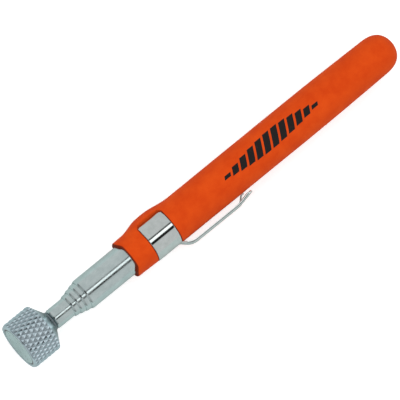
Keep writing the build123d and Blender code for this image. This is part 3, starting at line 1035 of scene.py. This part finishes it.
def paint(node, material):
    """A CAD node keeps its shape and gets a better material."""
    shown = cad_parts[node]
    shown.data.materials.clear()
    shown.data.materials.append(material)
    shown.data.shade_smooth()
    shown.data.set_sharp_from_angle(angle=math.radians(35))


def build_tool():
    tube_metal, chrome, steel = plated_tube(), clip_chrome(), bare_steel()
    bronze, foam = spring_bronze(), orange_foam()
    nylon = moulded("black_nylon", (0.012, 0.012, 0.013), (0.022, 0.022, 0.024), 0.48)
    grey = moulded("plastic_ring", (0.10, 0.105, 0.11), (0.15, 0.155, 0.16), 0.42)

    dress(magnet_cup(), knurled_steel(), "head", "knurled_steel", "magnet_cup")
    dress(magnet_face(), magnet_plate(), "head", "magnet_plate", "magnet_disc")
    dress(spacer_ring(), grey, "head", "plastic_ring", "magnet_spacer")
    dress(head_rivet(), steel, "head", "bare_steel", "head_rivet")
    dress(tube(1), tube_metal, "handle", "plated_tube", "section_1")
    for index in range(2, 6):
        dress(tube(index), tube_metal, f"tube_{index}", "plated_tube", f"section_{index}")
        paint(f"friction_sleeve_{index}", bronze)
    dress(nose_plug(), steel, "tube_5", "bare_steel", "nose_plug")
    grip = dress(grip_sleeve(), foam, "handle", "orange_foam", "grip_sleeve")
    dress(printed_mark(), black_ink(), "handle", "orange_foam")
    dress(clip_band(), chrome, "handle", "clip_chrome", "clip_band")
    dress(clip_arm(), chrome, "clip_arm", "clip_chrome", "clip_arm")
    for node in ("yoke_plate", "rivet_washer"):
        paint(node, steel)
    for node in ("end_plug", "clip_bush"):
        paint(node, nylon)


# ======== floor, light and camera ========
AMBIENT = 0.90  # brightness of the surroundings, for everything but reflections
ROOM_GREY = 0.60  # what shiny surfaces see of the room
STRIP_LIGHT = 1.4  # and of the strip light


def pale_floor():
    """A plain white sheet under the tool; mirrors see it a little darker, as a tabletop in a larger room."""
    mesh = bpy.data.meshes.new("floor")
    reach, level = 2.5, HEAD_LOW.z - 0.02 * MM
    corners = [(-reach, -reach, level), (reach, -reach, level), (reach, reach, level), (-reach, reach, level)]
    mesh.from_pydata(corners, [], [(0, 1, 2, 3)])
    floor = bpy.data.objects.new("floor", mesh)
    bpy.context.scene.collection.objects.link(floor)
    n = Look("floor_white")
    fibre = n.noise(60, 3)
    paper = n.varied(fibre, 0.3, 0.7, (0.90, 0.90, 0.90), (0.93, 0.93, 0.93))
    path = n.add("ShaderNodeLightPath").outputs
    bounced = n.maths("MAXIMUM", path["Is Glossy Ray"], path["Is Diffuse Ray"])
    n.colour(n.mixed(bounced, paper, (0.50, 0.56, 0.55)))
    n.link(n.mixed(bounced, (1.0, 1.0, 1.0), (0.0, 0.0, 0.0)), n.shader.inputs["Emission Color"])
    n.set(Emission_Strength=0.40, Specular_IOR_Level=0.0)
    n.roughness(n.spread(fibre, 0.3, 0.7, 0.85, 0.95))
    mesh.materials.append(n.material)


# what shiny surfaces see of the room, as (degrees from overhead towards +Y, brightness) round the tool's axis
OVERHEAD = [(-30, ROOM_GREY), (-28, 0.01), (-15.5, 0.01), (-13.5, STRIP_LIGHT), (-1.5, STRIP_LIGHT)]
OVERHEAD += [(0, 0.12 * ROOM_GREY), (6, 0.12 * ROOM_GREY), (8, ROOM_GREY)]
AHEAD = [(-80, 0.26), (-60, 0.44), (-14, 0.50), (-9, 0.03), (13, 0.03), (19, 0.42), (60, 0.38), (80, 0.20)]
BEHIND = [(-80, 1.3), (-60, 1.1), (-20, 0.9), (20, 0.6), (60, 0.7), (80, 1.3)]
# shares of the two ends of the room along X, from -1 beyond the magnet to 1 beyond the grip
AHEAD_SHARE = [(-0.85, 0.0), (-0.6, 1.0), (-0.08, 1.0), (0.03, 0.0)]
BEHIND_SHARE = [(0.42, 0.0), (0.55, 1.0)]


def brightness_along(g, source, low, high, stops):
    """Brightness along source from (value, brightness) stops between low and high."""
    ramp = g.add("ShaderNodeValToRGB")
    g.link(g.spread(source, low, high), ramp.inputs["Fac"])
    steps = ramp.color_ramp.elements
    ends = steps[0], steps[1]
    for end, level in zip(ends, (stops[0][1], stops[-1][1])):
        end.color = (level, level, level, 1)
    for value, level in stops:
        steps.new((value - low) / (high - low)).color = (level, level, level, 1)
    return ramp.outputs["Color"]


def studio_world():
    """Even pale surroundings. Shiny surfaces see a long soft strip light overhead with a dark gap on either
    side, a dark end of the room beyond the magnet and a bright one behind the grip."""
    world = bpy.data.worlds.new("studio")
    bpy.context.scene.world = world
    world.use_nodes = True
    g = Graph(world.node_tree)
    towards = g.axes(g.add("ShaderNodeTexCoord").outputs["Generated"])
    lean = g.maths("ARCTAN2", towards["Y"], towards["Z"])
    overhead, ahead, behind = [
        brightness_along(g, lean, -math.pi, math.pi, [(math.radians(d), level) for d, level in zone])
        for zone in (OVERHEAD, AHEAD, BEHIND)
    ]
    seen = g.mixed(brightness_along(g, towards["X"], -1, 1, AHEAD_SHARE), overhead, ahead)
    seen = g.mixed(brightness_along(g, towards["X"], -1, 1, BEHIND_SHARE), seen, behind)
    glossy = g.add("ShaderNodeLightPath").outputs["Is Glossy Ray"]
    g.link(g.mixed(glossy, (AMBIENT, AMBIENT, AMBIENT), seen), g.tree.nodes["Background"].inputs["Color"])


def softbox(name, place, target, size, power):
    light = bpy.data.lights.new(name, "AREA")
    light.shape = "RECTANGLE"
    light.size, light.size_y = size
    light.energy = power
    lamp = bpy.data.objects.new(name, light)
    lamp.location = place
    lamp.rotation_euler = (Vector(target) - Vector(place)).to_track_quat("-Z", "Y").to_euler()
    lamp.visible_glossy = False
    bpy.context.scene.collection.objects.link(lamp)


def camera():
    along = Vector((math.cos(VIEW_TILT), 0, math.sin(VIEW_TILT)))
    over = Vector((0, 1, 0))
    back = Vector((-math.sin(VIEW_TILT), 0, math.cos(VIEW_TILT)))
    right = along * math.cos(VIEW_ROLL) - over * math.sin(VIEW_ROLL)
    up = along * math.sin(VIEW_ROLL) + over * math.cos(VIEW_ROLL)
    data = bpy.data.cameras.new("camera")
    data.lens = VIEW_DISTANCE * data.sensor_width / VIEW_WIDTH
    data.clip_end = 20
    eye = bpy.data.objects.new("camera", data)
    place = VIEW_CENTRE + back * VIEW_DISTANCE
    bpy.context.scene.collection.objects.link(eye)
    eye.matrix_world = Matrix.LocRotScale(place, Matrix((right, up, back)).transposed(), None)
    bpy.context.scene.camera = eye


camera()
pale_floor()
studio_world()
middle = ((CAD_BOX[0][0] + CAD_BOX[1][0]) / 2, 0, 0)
softbox("key", (0.0, 0.55, 0.9), middle, (0.7, 0.7), 2.5)
softbox("fill", (0.3, -0.7, 0.6), middle, (0.7, 0.7), 1.2)
bpy.context.scene.view_settings.view_transform = "Standard"
build_tool()
